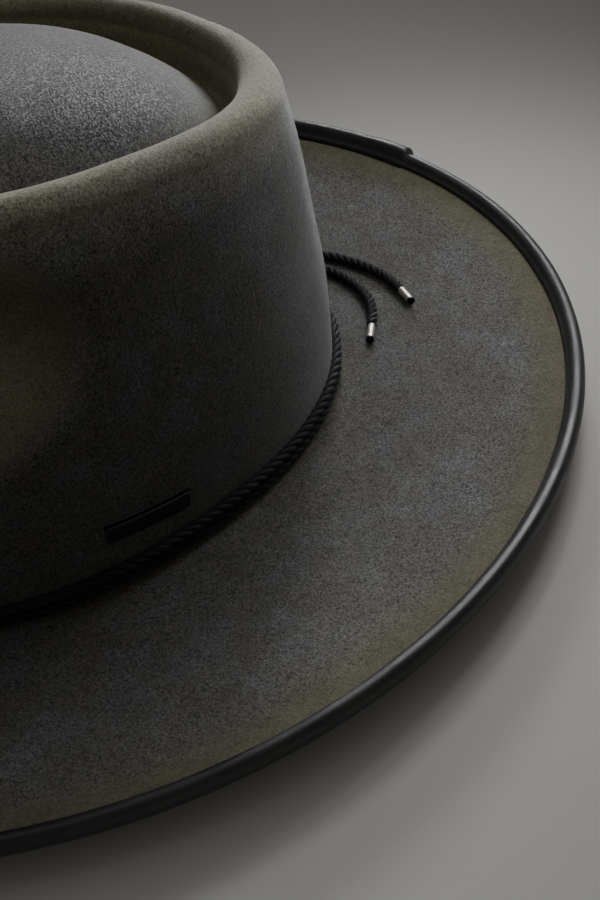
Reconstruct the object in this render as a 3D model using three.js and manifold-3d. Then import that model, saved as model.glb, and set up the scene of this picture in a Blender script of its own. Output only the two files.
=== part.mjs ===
// A fur felt hat: telescope crown, upturned brim with a bound edge, and a doubled cord with two tails.
// Millimetres, +Z up. The hat's front is towards -Y and the wearer's left towards +X.
// The underside of the brim's flat ring lies at z = 0.

import * as THREE from "three";
import { mergeVertices } from "three/addons/utils/BufferGeometryUtils.js";
import Module from "manifold-3d";

// Felt body
const feltThickness = 2.2;
const crownHalfLength = 103;
const crownHalfWidth = 86.3;
const crownFullness = 2.21;
const crownFootRadius = 2.6;
const wallSwell = 2.6;

// Rolled ridge round the top of the crown, measured to the middle of its roll and above the brim
const ridgeHalfLength = 85.5;
const ridgeHalfWidth = 73.3;
const ridgeFullness = 2.34;
const ridgeHeight = 111.3;
const ridgeRadius = 6.5;
const crownFall = 0.14;

// Gutter and dome inside the ridge
const gutterWidth = 5.0;
const gutterDepth = 11.6;
const domeHeight = 123.3;
const domeDrop = 20.7;
const domeFlatness = 3.75;

// Brim
const brimEndWidth = 80.9;
const brimSideWidth = 85.6;
const brimRise = 10.4;
const brimFlatShare = 0.25;
const brimRiseBend = 1.6;
const lipHeight = 1.6;
const lipFootRadius = 1.0;

// Edge binding
const bindingThickness = 1.0;
const bindingUpperFlange = 1.5;
const bindingUnderFlange = 4.0;
const bindingLapLayers = 3;
const bindingOverlapLength = 85;
const bindingSeamFromMiddle = 1.4;
const bindingSeamCorner = 0.15;

// Cord, its keeper and the metal ends of its tails
const cordRadius = 1.7;
const keeperLength = 9;
const keeperHalfDepth = 3.0;
const keeperHalfHeight = 4.2;
const ferruleLength = 8;
const ferruleRadius = 1.65;
const ferruleBoreRadius = 1.35;
const ferruleBoreDepth = 2.2;

// Slot tab on the wearer's left
const tabWidth = 26.6;
const tabDrop = 5.4;
const tabThickness = 0.8;
const tabBend = 0.3;
const tabAngle = THREE.MathUtils.degToRad(-13.3);
const tabHeight = 23.7;
const tabTilt = THREE.MathUtils.degToRad(-6.1);

// Clearance between pieces that touch
const gap = 0.3;

// Facets
const stepsRound = 56;
const cordSides = 8;
const keeperSides = 16;
const ferruleSides = 12;
const tabSteps = 8;
const tailSteps = 18;

// Shares of the way from the crown's foot to the lip's foot, where the brim has a row of facets
const brimRows = [{ out: 0.78 }, { out: 0.5 }, { out: 0.25 }, { out: 0.14 }, { out: 0.03 }];

// Shares of the way up the crown wall
const wallRows = [
  { up: 0 }, { up: 0.16 }, { up: 0.34 }, { up: 0.5 }, { up: 0.65 }, { up: 0.8 }, { up: 0.92 },
];

// Shares of the gutter's width and depth
const gutterRows = [{ inset: 0.1, drop: 0.7 }, { inset: 0.5, drop: 1 }];

// Shares of the dome's plan, from its foot to near its middle
const domeRows = [{ reach: 1 }, { reach: 0.93 }, { reach: 0.84 }, { reach: 0.68 }, { reach: 0.36 }];

// The two front pinches: place round the crown in degrees from the wearer's left, height as a share of
// the ridge height, reach and depth as shares of the crown's half length.
const dents = [
  { angle: -46, height: 0.78, across: 0.45, above: 0.27, below: 0.42, depth: 0.13 },
  { angle: -134, height: 0.78, across: 0.45, above: 0.27, below: 0.42, depth: 0.13 },
];
const dentSoftness = 1.3;

// Where the two tails lie on the brim, seen from above. Each runs from the keeper to its metal end.
const tailRoutes = {
  a: [[-0.8, 109.7], [-0.2, 113.2], [2.4, 117.2], [6.6, 120.8], [11.6, 123.7], [17, 125.8], [22.6, 127.1],
    [28.2, 127.8], [33.8, 128], [39.4, 127.6], [44.8, 126.2], [49.8, 124.3]],
  b: [[3.4, 109.6], [5.2, 112.2], [9.2, 115], [14.4, 116.9], [20.4, 118], [26.4, 118.3], [32.2, 117.7],
    [37.6, 116.4], [42.8, 114.3], [47.4, 111.4], [51.8, 107.2], [55.7, 102.5]],
};

const feltHalfLength = crownHalfLength + brimEndWidth;
const feltHalfWidth = crownHalfWidth + brimSideWidth;
const lerp = THREE.MathUtils.lerp;
const back = Math.PI / 2;
const upward = new THREE.Vector3(0, 0, 1);

const wasm = await Module();
wasm.setup();

function ovalRadius(angle, halfWidth, halfLength, fullness) {
  const across = Math.abs(Math.cos(angle) / halfWidth) ** fullness;
  const along = Math.abs(Math.sin(angle) / halfLength) ** fullness;
  return (across + along) ** (-1 / fullness);
}

function polar(angle, radius, height) {
  return new THREE.Vector3(radius * Math.cos(angle), radius * Math.sin(angle), height);
}

// The crown is higher at the front, more so towards its top.
function leaned(angle, radius, height, share) {
  return polar(angle, radius, height - crownFall * radius * Math.sin(angle) * share);
}

function dentDepth(angle, height) {
  let depth = 0;
  for (const dent of dents) {
    const turn = angle - THREE.MathUtils.degToRad(dent.angle);
    const away = Math.atan2(Math.sin(turn), Math.cos(turn)) * crownHalfWidth;
    const across = away / (dent.across * crownHalfLength);
    const rise = height - dent.height * ridgeHeight;
    const reach = (rise > 0 ? dent.above : dent.below) * crownHalfLength;
    const near = Math.max(0, 1 - across ** 2 - (rise / reach) ** 2);
    depth += dent.depth * crownHalfLength * near ** dentSoftness;
  }
  return depth;
}

// A point on the outside of the crown wall, up being 0 at the brim's bend and 1 at the ridge.
function wallPoint(angle, up) {
  const swell = wallSwell * 4 * up * (1 - up);
  const halfLength = lerp(crownHalfLength, ridgeHalfLength + ridgeRadius, up) + swell;
  const halfWidth = lerp(crownHalfWidth, ridgeHalfWidth + ridgeRadius, up) + swell;
  const height = lerp(crownFootRadius, ridgeHeight, up);
  const radius = ovalRadius(angle, halfWidth, halfLength, lerp(crownFullness, ridgeFullness, up));
  return leaned(angle, radius - dentDepth(angle, height), feltThickness + height, up);
}

function wallRadiusAt(angle, height) {
  let up = 0;
  for (let pass = 0; pass < 8; pass += 1) {
    const low = wallPoint(angle, up);
    const high = wallPoint(angle, up + 0.01);
    up = Math.max(0, up + (height - low.z) * 0.01 / (high.z - low.z));
  }
  const point = wallPoint(angle, up);
  return Math.hypot(point.x, point.y);
}

function ridgePoint(angle, turn) {
  const out = ridgeRadius * Math.cos(turn);
  const radius = ovalRadius(angle, ridgeHalfWidth + out, ridgeHalfLength + out, ridgeFullness);
  return leaned(angle, radius, feltThickness + ridgeHeight + ridgeRadius * Math.sin(turn), 1);
}

function gutterPoint(angle, inset, drop) {
  const inside = ridgeRadius + inset;
  const radius = ovalRadius(angle, ridgeHalfWidth - inside, ridgeHalfLength - inside, ridgeFullness);
  return leaned(angle, radius, feltThickness + ridgeHeight - drop, 1);
}

function domePoint(angle, reach) {
  const inside = ridgeRadius + gutterWidth;
  const radius = reach * ovalRadius(angle, ridgeHalfWidth - inside, ridgeHalfLength - inside, ridgeFullness);
  return leaned(angle, radius, feltThickness + domeHeight - domeDrop * reach ** domeFlatness, 1);
}

// The felt's edge outline moved in by inset.
function edgePoint(angle, inset, height) {
  return polar(angle, ovalRadius(angle, feltHalfWidth - inset, feltHalfLength - inset, 2), height);
}

// The same, on the flats between the felt's facet corners.
function edgeFacetPoint(angle, inset, height) {
  const turn = angle / (2 * Math.PI) * stepsRound;
  const step = Math.floor(turn + 1e-9);
  const corner = (number) => edgePoint(2 * Math.PI * number / stepsRound, inset, height);
  return corner(step).lerp(corner(step + 1), Math.max(0, turn - step));
}

function brimTopHeight(out) {
  const rising = Math.max(0, (out - brimFlatShare) / (1 - brimFlatShare));
  return feltThickness + brimRise * rising ** brimRiseBend;
}

const lipFootInset = feltThickness + lipFootRadius;

function brimEnds(angle) {
  const inner = ovalRadius(angle, crownHalfWidth, crownHalfLength, crownFullness) + crownFootRadius;
  const outer = ovalRadius(angle, feltHalfWidth - lipFootInset, feltHalfLength - lipFootInset, 2);
  return [inner, outer];
}

function brimPoint(angle, out) {
  const [inner, outer] = brimEnds(angle);
  return polar(angle, lerp(inner, outer, out), brimTopHeight(out));
}

function brimTopAt(x, y) {
  const [inner, outer] = brimEnds(Math.atan2(y, x));
  return brimTopHeight((Math.hypot(x, y) - inner) / (outer - inner));
}

// Inner face of the lip and its foot, as inset from the felt's edge and height, from the top down.
function lipRows() {
  const foot = brimTopHeight(1);
  const corner = lipFootRadius * (1 - Math.SQRT1_2);
  return [
    { inset: feltThickness, height: foot + lipFootRadius + lipHeight },
    { inset: feltThickness, height: foot + lipFootRadius },
    { inset: feltThickness + corner, height: foot + corner },
    { inset: lipFootInset, height: foot },
  ];
}

// One row of points for each level of the felt's upper side, from the lip's top to near the dome's middle.
function feltRows() {
  const rows = [];
  const addRow = (place) => {
    const row = [];
    for (let step = 0; step < stepsRound; step += 1) {
      row.push(place(2 * Math.PI * step / stepsRound));
    }
    rows.push(row);
  };
  lipRows().forEach((lip) => addRow((angle) => edgePoint(angle, lip.inset, lip.height)));
  brimRows.forEach(({ out }) => addRow((angle) => brimPoint(angle, out)));
  addRow((angle) => brimPoint(angle, 0));
  addRow((angle) => {
    const corner = crownFootRadius * (1 - Math.SQRT1_2);
    const radius = ovalRadius(angle, crownHalfWidth, crownHalfLength, crownFullness);
    return polar(angle, radius + corner, feltThickness + corner);
  });
  wallRows.forEach(({ up }) => addRow((angle) => wallPoint(angle, up)));
  for (let quarter = 0; quarter <= 4; quarter += 1) {
    addRow((angle) => ridgePoint(angle, quarter * Math.PI / 4));
  }
  gutterRows.forEach(({ inset, drop }) => addRow(
    (angle) => gutterPoint(angle, inset * gutterWidth, drop * gutterDepth)));
  domeRows.forEach(({ reach }) => addRow((angle) => domePoint(angle, reach)));
  return rows;
}

function rowNormals(rows, top) {
  return rows.map((row, level) => row.map((point, step) => {
    const round = row[(step + 1) % stepsRound].clone().sub(row[(step + stepsRound - 1) % stepsRound]);
    const outer = level > 0 ? rows[level - 1][step] : point;
    const inner = level < rows.length - 1 ? rows[level + 1][step] : top;
    return round.cross(inner.clone().sub(outer)).normalize();
  }));
}

function makeGeometry(points, faces) {
  const geometry = new THREE.BufferGeometry();
  const numbers = new Float32Array(points.flatMap((point) => [point.x, point.y, point.z]));
  geometry.setAttribute("position", new THREE.BufferAttribute(numbers, 3));
  geometry.setIndex(faces.flat());
  return geometry;
}

// The felt as one closed sheet: the upper side, and an under side that follows it at the felt's thickness.
function feltShell() {
  const upper = feltRows();
  const top = polar(0, 0, feltThickness + domeHeight);
  const normals = rowNormals(upper, top);
  const lean = new THREE.Vector3(0, crownFall, 1).normalize();
  const under = upper.map((row, level) => row.map(
    (point, step) => point.clone().addScaledVector(normals[level][step], -feltThickness)));
  const points = [...upper.flat(), ...under.flat(), top, top.clone().addScaledVector(lean, -feltThickness)];
  const underStart = upper.flat().length;
  const faces = [];
  const quad = (a, b, c, d) => faces.push([a, b, c], [a, c, d]);
  for (let step = 0; step < stepsRound; step += 1) {
    const next = (step + 1) % stepsRound;
    for (let level = 0; level < upper.length - 1; level += 1) {
      const outer = level * stepsRound;
      const inner = outer + stepsRound;
      quad(outer + step, outer + next, inner + next, inner + step);
      const below = [next + outer, step + outer, step + inner, next + inner];
      quad(...below.map((number) => underStart + number));
    }
    const last = (upper.length - 1) * stepsRound;
    faces.push([last + step, last + next, 2 * underStart]);
    faces.push([underStart + last + next, underStart + last + step, 2 * underStart + 1]);
    quad(step, underStart + step, underStart + next, next);
  }
  return makeGeometry(points, faces);
}

// The triangles that fill a flat outline, wound the way the outline runs.
function flatFaces(outline) {
  const arms = outline.map((point) => point.clone().sub(outline[0]));
  const up = arms.reduce((sum, arm, side) => sum.add(arm.clone().cross(arms[(side + 1) % arms.length])),
    new THREE.Vector3()).normalize();
  const across = arms[1].clone().normalize();
  const level = up.clone().cross(across);
  const flat = arms.map((arm) => new THREE.Vector2(arm.dot(across), arm.dot(level)));
  return THREE.ShapeUtils.triangulateShape(flat, []);
}

// A closed solid through a row of like sections, joined end to end or with flat ends.
function loft(sections, joined) {
  const sides = sections[0].length;
  const points = sections.flat();
  const faces = [];
  const spans = joined ? sections.length : sections.length - 1;
  for (let span = 0; span < spans; span += 1) {
    const here = span * sides;
    const there = ((span + 1) % sections.length) * sides;
    for (let side = 0; side < sides; side += 1) {
      const next = (side + 1) % sides;
      faces.push([here + side, here + next, there + next], [here + side, there + next, there + side]);
    }
  }
  if (!joined) {
    const last = (sections.length - 1) * sides;
    for (const [a, b, c] of flatFaces(sections[0])) {
      faces.push([a, c, b], [last + a, last + b, last + c]);
    }
  }
  return outward(makeGeometry(points, faces));
}

// Turns every face of a closed geometry over when they point in.
function outward(geometry) {
  const place = geometry.getAttribute("position");
  const index = geometry.getIndex();
  const corner = (number) => new THREE.Vector3().fromBufferAttribute(place, index.getX(number));
  let volume = 0;
  for (let first = 0; first < index.count; first += 3) {
    volume += corner(first).dot(corner(first + 1).cross(corner(first + 2)));
  }
  if (volume < 0) {
    for (let first = 0; first < index.count; first += 3) {
      const swapped = index.getX(first);
      index.setX(first, index.getX(first + 1));
      index.setX(first + 1, swapped);
    }
  }
  return geometry;
}

function toManifold(geometry) {
  const bare = geometry.clone();
  bare.deleteAttribute("normal");
  bare.deleteAttribute("uv");
  const merged = mergeVertices(bare, 1e-4);
  return new wasm.Manifold(new wasm.Mesh({
    numProp: 3,
    vertProperties: new Float32Array(merged.getAttribute("position").array),
    triVerts: new Uint32Array(merged.getIndex().array),
  }));
}

function fromManifold(solid) {
  const mesh = solid.getMesh();
  const geometry = new THREE.BufferGeometry();
  geometry.setAttribute("position", new THREE.BufferAttribute(new Float32Array(mesh.vertProperties), 3));
  geometry.setIndex(new THREE.BufferAttribute(new Uint32Array(mesh.triVerts), 1));
  return geometry;
}

// Slot tab

// A section in the upright plane at one share of the tab's width, its corners given as out from the
// wall and up from the slot.
function tabSection(share, outline) {
  const angle = tabAngle + share * tabWidth / crownHalfWidth;
  const height = tabHeight + share * tabWidth * Math.tan(tabTilt);
  return outline.map(([out, up]) => polar(angle, wallRadiusAt(angle, height + up) + out, height + up));
}

function tabStations(extra) {
  const half = 0.5 + extra / tabWidth;
  return Array.from({ length: tabSteps + 1 }, (unused, step) => lerp(-half, half, step / tabSteps));
}

function slotCutter() {
  const half = tabThickness / 2 + gap;
  const outside = feltThickness;
  const inside = -2 * feltThickness;
  const outline = [[inside, -half], [outside, -half], [outside, half], [inside, half]];
  return loft(tabStations(gap).map((share) => tabSection(share, outline)), false);
}

// The tab goes through the slot, and hangs down outside and a little way inside.
function slotTab() {
  const half = tabThickness / 2;
  const outerFace = gap + tabThickness;
  const innerFace = -feltThickness - gap - tabThickness;
  const bend = tabBend;
  const outline = [
    [outerFace, -tabDrop], [outerFace, half - bend], [outerFace - bend, half], [innerFace + bend, half],
    [innerFace, half - bend], [innerFace, -tabDrop], [innerFace + tabThickness, -tabDrop],
    [innerFace + tabThickness, -half], [gap, -half], [gap, -tabDrop],
  ];
  return loft(tabStations(0).map((share) => tabSection(share, outline)), false);
}

function feltBody() {
  return fromManifold(toManifold(feltShell()).subtract(toManifold(slotCutter())));
}

// Edge binding

// The felt's edge in section, from the brim's upper side over the lip to the brim's under side.
function edgeOutline() {
  const [top, , , foot] = lipRows();
  const lastRow = brimRows[0].out;
  const lastRun = (1 - lastRow) * (brimEndWidth + brimSideWidth) / 2;
  const slope = (brimTopHeight(1) - brimTopHeight(lastRow)) / lastRun;
  const turn = Math.atan(slope);
  const outerRadius = lipFootRadius + feltThickness;
  const centre = { inset: lipFootInset, height: foot.height + lipFootRadius };
  const outline = [
    [foot.inset + bindingUpperFlange, foot.height - bindingUpperFlange * slope],
    [foot.inset, foot.height],
    [centre.inset - lipFootRadius * Math.SQRT1_2, centre.height - lipFootRadius * Math.SQRT1_2],
    [feltThickness, centre.height],
    [feltThickness, top.height],
    [0, top.height],
    [0, centre.height],
    [centre.inset - outerRadius * Math.SQRT1_2, centre.height - outerRadius * Math.SQRT1_2],
    [centre.inset + outerRadius * Math.sin(turn) * 0.5, centre.height - outerRadius],
    [centre.inset + bindingUnderFlange, centre.height - outerRadius - bindingUnderFlange * slope],
  ];
  return outline.map(([inset, height]) => new THREE.Vector2(inset, height));
}

// A line of section points moved out from the felt by a distance.
function offsetLine(line, distance) {
  return line.map((point, number) => {
    const before = line[Math.max(0, number - 1)];
    const after = line[Math.min(line.length - 1, number + 1)];
    const first = point.clone().sub(before).normalize();
    const second = after.clone().sub(point).normalize();
    const ways = [first, second].filter((way) => way.length() > 0);
    const normals = ways.map((way) => new THREE.Vector2(-way.y, way.x));
    const mean = normals.reduce((sum, way) => sum.add(way), new THREE.Vector2()).normalize();
    return point.clone().addScaledVector(mean, -distance / mean.dot(normals[0]));
  });
}

// The leather's end is folded under and lapped over its start. The lap runs from the seam towards the
// wearer's right.
function edgeBinding() {
  const line = edgeOutline();
  const inner = offsetLine(line, gap);
  const single = offsetLine(line, gap + bindingThickness);
  const lapped = offsetLine(line, gap + bindingLapLayers * bindingThickness);
  const seam = back - bindingSeamFromMiddle / feltHalfLength;
  const lap = bindingOverlapLength / feltHalfLength;
  const corner = bindingSeamCorner / feltHalfLength;
  const closest = bindingThickness / feltHalfLength;
  const seamStations = [
    { angle: seam, outer: single }, { angle: seam + corner, outer: lapped },
    { angle: seam + lap - corner, outer: lapped }, { angle: seam + lap, outer: single },
  ];
  const stations = [...seamStations];
  for (let step = 0; step < stepsRound; step += 1) {
    const angle = 2 * Math.PI * step / stepsRound;
    const onLap = angle > seam && angle < seam + lap;
    const clear = seamStations.every((station) => Math.abs(station.angle - angle) > closest);
    if (clear) {
      stations.push({ angle, outer: onLap ? lapped : single });
    }
  }
  stations.sort((first, second) => first.angle - second.angle);
  return loft(stations.map(({ angle, outer }) => [...inner, ...outer.toReversed()].map(
    (point) => edgeFacetPoint(angle, point.x, point.y))), true);
}

// Cord

function cordSection(centre, ahead) {
  const side = ahead.clone().cross(upward).normalize();
  const up = side.clone().cross(ahead).normalize();
  return Array.from({ length: cordSides }, (unused, number) => {
    const turn = 2 * Math.PI * (number + 0.5) / cordSides;
    const corner = centre.clone().addScaledVector(side, cordRadius * Math.cos(turn));
    return corner.addScaledVector(up, cordRadius * Math.sin(turn));
  });
}

function cordTube(centres) {
  return loft(centres.map((centre, number) => {
    const before = centres[Math.max(0, number - 1)];
    const after = centres[Math.min(centres.length - 1, number + 1)];
    return cordSection(centre, after.clone().sub(before).normalize());
  }), false);
}

const lowerWrapHeight = feltThickness + Math.max(crownFootRadius, cordRadius) + 2 * gap;
const upperWrapHeight = lowerWrapHeight + 2 * cordRadius + gap;

// One turn of the cord round the crown, from one end of the keeper to the other.
function cordWrap(height) {
  const away = cordRadius + gap;
  const half = (keeperLength / 2 + gap) / (crownHalfLength + away);
  const centres = [];
  for (let step = 0; step <= stepsRound; step += 1) {
    const angle = back + half + (2 * Math.PI - 2 * half) * step / stepsRound;
    centres.push(polar(angle, wallRadiusAt(angle, height) + away, height));
  }
  return cordTube(centres);
}

const keeperMiddle = new THREE.Vector3(
  0, crownHalfLength + gap + keeperHalfDepth, (lowerWrapHeight + upperWrapHeight) / 2);

// The keeper's sections, as shares of its length and of its full size
const keeperRows = [
  { along: -0.5, size: 0.86 }, { along: -0.38, size: 1 },
  { along: 0.38, size: 1 }, { along: 0.5, size: 0.86 },
];

// The bound knot that the cord's ends leave: an oval barrel along X with rounded shoulders.
function cordKeeper() {
  return loft(keeperRows.map(({ along, size }) => Array.from({ length: keeperSides }, (unused, number) => {
    const turn = 2 * Math.PI * number / keeperSides;
    const deep = size * keeperHalfDepth * Math.cos(turn);
    const high = size * keeperHalfHeight * Math.sin(turn);
    return keeperMiddle.clone().add(new THREE.Vector3(along * keeperLength, deep, high));
  })), false);
}

function tailCurve(route) {
  const above = gap + cordRadius;
  return new THREE.CatmullRomCurve3(route.map(([x, y]) => new THREE.Vector3(x, y, brimTopAt(x, y) + above)));
}

function cordTail(route) {
  return cordTube(tailCurve(route).getSpacedPoints(tailSteps));
}

// A turned metal end with an open mouth, made along Z and laid in line with the tail.
function placeFerrule(mesh, route) {
  const curve = tailCurve(route);
  const ahead = curve.getTangentAt(1);
  mesh.position.copy(curve.getPointAt(1)).addScaledVector(ahead, gap);
  mesh.quaternion.setFromUnitVectors(upward, ahead);
}

function ferrule() {
  const rim = (ferruleRadius - ferruleBoreRadius) / 2;
  const profile = [
    [0, 0], [ferruleRadius - rim, 0], [ferruleRadius, rim], [ferruleRadius, ferruleLength - rim],
    [ferruleRadius - rim, ferruleLength], [ferruleBoreRadius, ferruleLength],
    [ferruleBoreRadius, ferruleLength - ferruleBoreDepth], [0, ferruleLength - ferruleBoreDepth],
  ];
  const corners = profile.map(([radius, along]) => new THREE.Vector2(radius, along));
  const geometry = new THREE.LatheGeometry(corners, ferruleSides);
  geometry.rotateX(Math.PI / 2);
  geometry.deleteAttribute("normal");
  geometry.deleteAttribute("uv");
  return fromManifold(toManifold(outward(mergeVertices(geometry, 1e-4))));
}

// Materials

const felt = new THREE.MeshStandardMaterial({ color: 0x3b3a35, roughness: 0.95, metalness: 0 });
const leather = new THREE.MeshStandardMaterial({ color: 0x1d1d1e, roughness: 0.45, metalness: 0 });
const blackCord = new THREE.MeshStandardMaterial({ color: 0x0c0c0e, roughness: 0.6, metalness: 0 });
const nickel = new THREE.MeshStandardMaterial({ color: 0xb9b3a6, roughness: 0.3, metalness: 1 });
const tape = new THREE.MeshStandardMaterial({ color: 0x0a0a0b, roughness: 0.7, metalness: 0 });

function piece(name, geometry, material) {
  const mesh = new THREE.Mesh(geometry, material);
  mesh.name = name;
  return mesh;
}

const hat = new THREE.Group();
hat.add(
  piece("felt_body", feltBody(), felt),
  piece("edge_binding", edgeBinding(), leather),
  piece("cord_wrap_lower", cordWrap(lowerWrapHeight), blackCord),
  piece("cord_wrap_upper", cordWrap(upperWrapHeight), blackCord),
  piece("cord_keeper", cordKeeper(), blackCord),
  piece("slot_tab", slotTab(), tape),
);
for (const [letter, route] of Object.entries(tailRoutes)) {
  const end = piece(`ferrule_${letter}`, ferrule(), nickel);
  placeFerrule(end, route);
  hat.add(piece(`cord_tail_${letter}`, cordTail(route), blackCord), end);
}

// The lap stands out at the back by its extra layers, so the hat moves forward by half of them.
hat.position.y = -(bindingLapLayers - 1) * bindingThickness / 2;

export default hat;
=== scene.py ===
"""The looks of a fur felt hat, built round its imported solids.

Metres, +Z up. The front of the hat is towards -Y and the wearer's left towards +X.
"""

import math

import bmesh
import bpy
import numpy as np
from mathutils import Matrix, Vector, noise


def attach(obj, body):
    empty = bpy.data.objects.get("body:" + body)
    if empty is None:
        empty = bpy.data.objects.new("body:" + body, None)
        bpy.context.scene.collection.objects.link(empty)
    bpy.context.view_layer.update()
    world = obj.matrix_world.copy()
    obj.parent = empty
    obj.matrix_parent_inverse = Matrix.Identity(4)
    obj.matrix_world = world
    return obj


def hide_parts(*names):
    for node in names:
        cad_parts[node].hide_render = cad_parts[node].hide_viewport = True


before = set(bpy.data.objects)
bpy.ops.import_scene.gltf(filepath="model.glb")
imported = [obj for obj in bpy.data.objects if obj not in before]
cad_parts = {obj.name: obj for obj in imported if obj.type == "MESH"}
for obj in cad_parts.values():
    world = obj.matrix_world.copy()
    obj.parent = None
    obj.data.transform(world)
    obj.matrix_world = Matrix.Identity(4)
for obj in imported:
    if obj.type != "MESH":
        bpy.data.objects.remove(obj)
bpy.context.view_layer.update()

# The lap of the binding stands out at the back, so the hat stands this much forward of its own middle.
HAT_SHIFT = np.array([0.0, -0.001, 0.0])
BACK = math.pi / 2

# Felt
FELT = 0.0022
CROWN_HALF_LENGTH = 0.103
CROWN_HALF_WIDTH = 0.0863
CROWN_FULLNESS = 2.21
CROWN_FOOT_RADIUS = 0.0026
WALL_SWELL = 0.0026
RIDGE_HALF_LENGTH = 0.0855
RIDGE_HALF_WIDTH = 0.0733
RIDGE_FULLNESS = 2.34
RIDGE_HEIGHT = 0.1113
RIDGE_RADIUS = 0.0065
CROWN_FALL = 0.14
GUTTER_WIDTH = 0.005
GUTTER_DEPTH = 0.0116
DOME_HEIGHT = 0.1233
DOME_DROP = 0.0207
DOME_FLATNESS = 3.75
BRIM_END_WIDTH = 0.0809
BRIM_SIDE_WIDTH = 0.0856
BRIM_RISE = 0.0104
BRIM_FLAT_SHARE = 0.25
BRIM_RISE_BEND = 1.6
LIP_HEIGHT = 0.0016
LIP_FOOT_RADIUS = 0.001
LIP_CLEARANCE = 0.0004
# The pinches at the front stand this many degrees round from the wearer's left, with their middle at this
# share of the ridge's height.
DENT_DEGREES = (-46, -134)
DENT_MIDDLE = 0.78
DENT_ACROSS = 0.0464
DENT_ABOVE = 0.0278
DENT_BELOW = 0.0433
DENT_DEPTH = 0.0134
DENT_SOFTNESS = 1.3
WAVE_HEIGHT = 0.0009
FELT_STEPS = 220
# Painted light and shade on the felt: how much lighter or darker its colour is painted, where 1 is the plain
# colour.
RIDGE_FOOT_PAINTED_LIGHT = 1.5
GUTTER_PAINTED_LIGHT = 2.5
DOME_PAINTED_SHADE = 0.92
# Where the dome's flecks are strongest, seen from above.
FLECKED_PATCH = (0.03, 0.02)

# Binding
LEATHER = 0.001
SEAM_FROM_MIDDLE = 0.0014
LAP_LENGTH = 0.085
HEM_LENGTH = 0.022
# The section starts with the strip's cut edge, which is this many points long.
CUT_EDGE_POINTS = 9

# Cord
CORD_RADIUS = 0.0017
TWIST_PITCH = 0.0115
TAIL_PITCH = 0.009
TAIL_RADIUS = 0.00185
GAP = 0.0003
KEEPER_LENGTH = 0.009
KEEPER_HALF_DEPTH = 0.003
KEEPER_HALF_HEIGHT = 0.0042
KEEPER_TWINE = 0.00062
KEEPER_TURNS = 7
FERRULE_LENGTH = 0.008
# The metal ends are drawn slimmer than their solids, as thick as they look.
FERRULE_RADIUS = 0.00137

# Tab
TAB_WIDTH = 0.0266
TAB_DROP = 0.0054
TAB_THICKNESS = 0.0008
TAPE = 0.00042
TAB_ANGLE = math.radians(-13.3)
TAB_HEIGHT = 0.0237
TAB_TILT = math.radians(-6.1)

# Where the tails lie on the brim, seen from above, from the keeper to the metal end
TAIL_ROUTES = {
    "a": ((-0.0008, 0.1097), (-0.0002, 0.1132), (0.0024, 0.1172), (0.0066, 0.1208), (0.0116, 0.1237),
          (0.017, 0.1258), (0.0226, 0.1271), (0.0282, 0.1278), (0.0338, 0.128), (0.0394, 0.1276),
          (0.0448, 0.1262), (0.0498, 0.1243)),
    "b": ((0.0034, 0.1096), (0.0052, 0.1122), (0.0092, 0.115), (0.0144, 0.1169), (0.0204, 0.118),
          (0.0264, 0.1183), (0.0322, 0.1177), (0.0376, 0.1164), (0.0428, 0.1143), (0.0474, 0.1114),
          (0.0518, 0.1072), (0.0557, 0.1025)),
}


# Shader helpers

def socket(side, name):
    """The socket of that name that is in use, because some nodes hold several of one name."""
    for one in side:
        if one.name == name and one.enabled:
            return one
    raise KeyError(name)


def link(tree, source, target):
    tree.links.new(source, target)


def add_node(tree, kind, settings=None, values=None):
    node = tree.nodes.new(kind)
    for name, value in (settings or {}).items():
        setattr(node, name, value)
    for name, value in (values or {}).items():
        socket(node.inputs, name).default_value = value
    return node


def math_node(tree, operation, first, second=None, clamp=False):
    node = add_node(tree, "ShaderNodeMath", {"operation": operation, "use_clamp": clamp})
    for number, value in enumerate((first, second)):
        if value is None:
            continue
        if isinstance(value, (int, float)):
            node.inputs[number].default_value = value
        else:
            link(tree, value, node.inputs[number])
    return node.outputs[0]


def mix_colour(tree, share, first, second):
    node = add_node(tree, "ShaderNodeMix", {"data_type": "RGBA"})
    for name, value in (("Factor", share), ("A", first), ("B", second)):
        target = socket(node.inputs, name)
        if isinstance(value, (int, float, tuple)):
            target.default_value = value
        else:
            link(tree, value, target)
    return socket(node.outputs, "Result")


def map_range(tree, value, low, high, new_low, new_high):
    node = add_node(tree, "ShaderNodeMapRange", {"interpolation_type": "SMOOTHSTEP"}, {
        "From Min": low, "From Max": high, "To Min": new_low, "To Max": new_high})
    link(tree, value, socket(node.inputs, "Value"))
    return node.outputs[0]


def noise_value(tree, vector, scale, detail, roughness=0.6):
    node = add_node(tree, "ShaderNodeTexNoise", None, {
        "Scale": scale, "Detail": detail, "Roughness": roughness})
    link(tree, vector, socket(node.inputs, "Vector"))
    return socket(node.outputs, "Fac")


def attribute(tree, name):
    return add_node(tree, "ShaderNodeAttribute", {"attribute_name": name})


def new_group(name, inputs, outputs):
    tree = bpy.data.node_groups.new(name, "ShaderNodeTree")
    for label, kind, value in inputs:
        made = tree.interface.new_socket(name=label, in_out="INPUT", socket_type=kind)
        if value is not None:
            made.default_value = value
    for label, kind in outputs:
        tree.interface.new_socket(name=label, in_out="OUTPUT", socket_type=kind)
    return tree, add_node(tree, "NodeGroupInput"), add_node(tree, "NodeGroupOutput")


def place_group(tree, group, values):
    node = add_node(tree, "ShaderNodeGroup", {"node_tree": group})
    for name, value in values.items():
        if isinstance(value, (int, float, tuple)):
            node.inputs[name].default_value = value
        else:
            link(tree, value, node.inputs[name])
    return node


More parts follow.
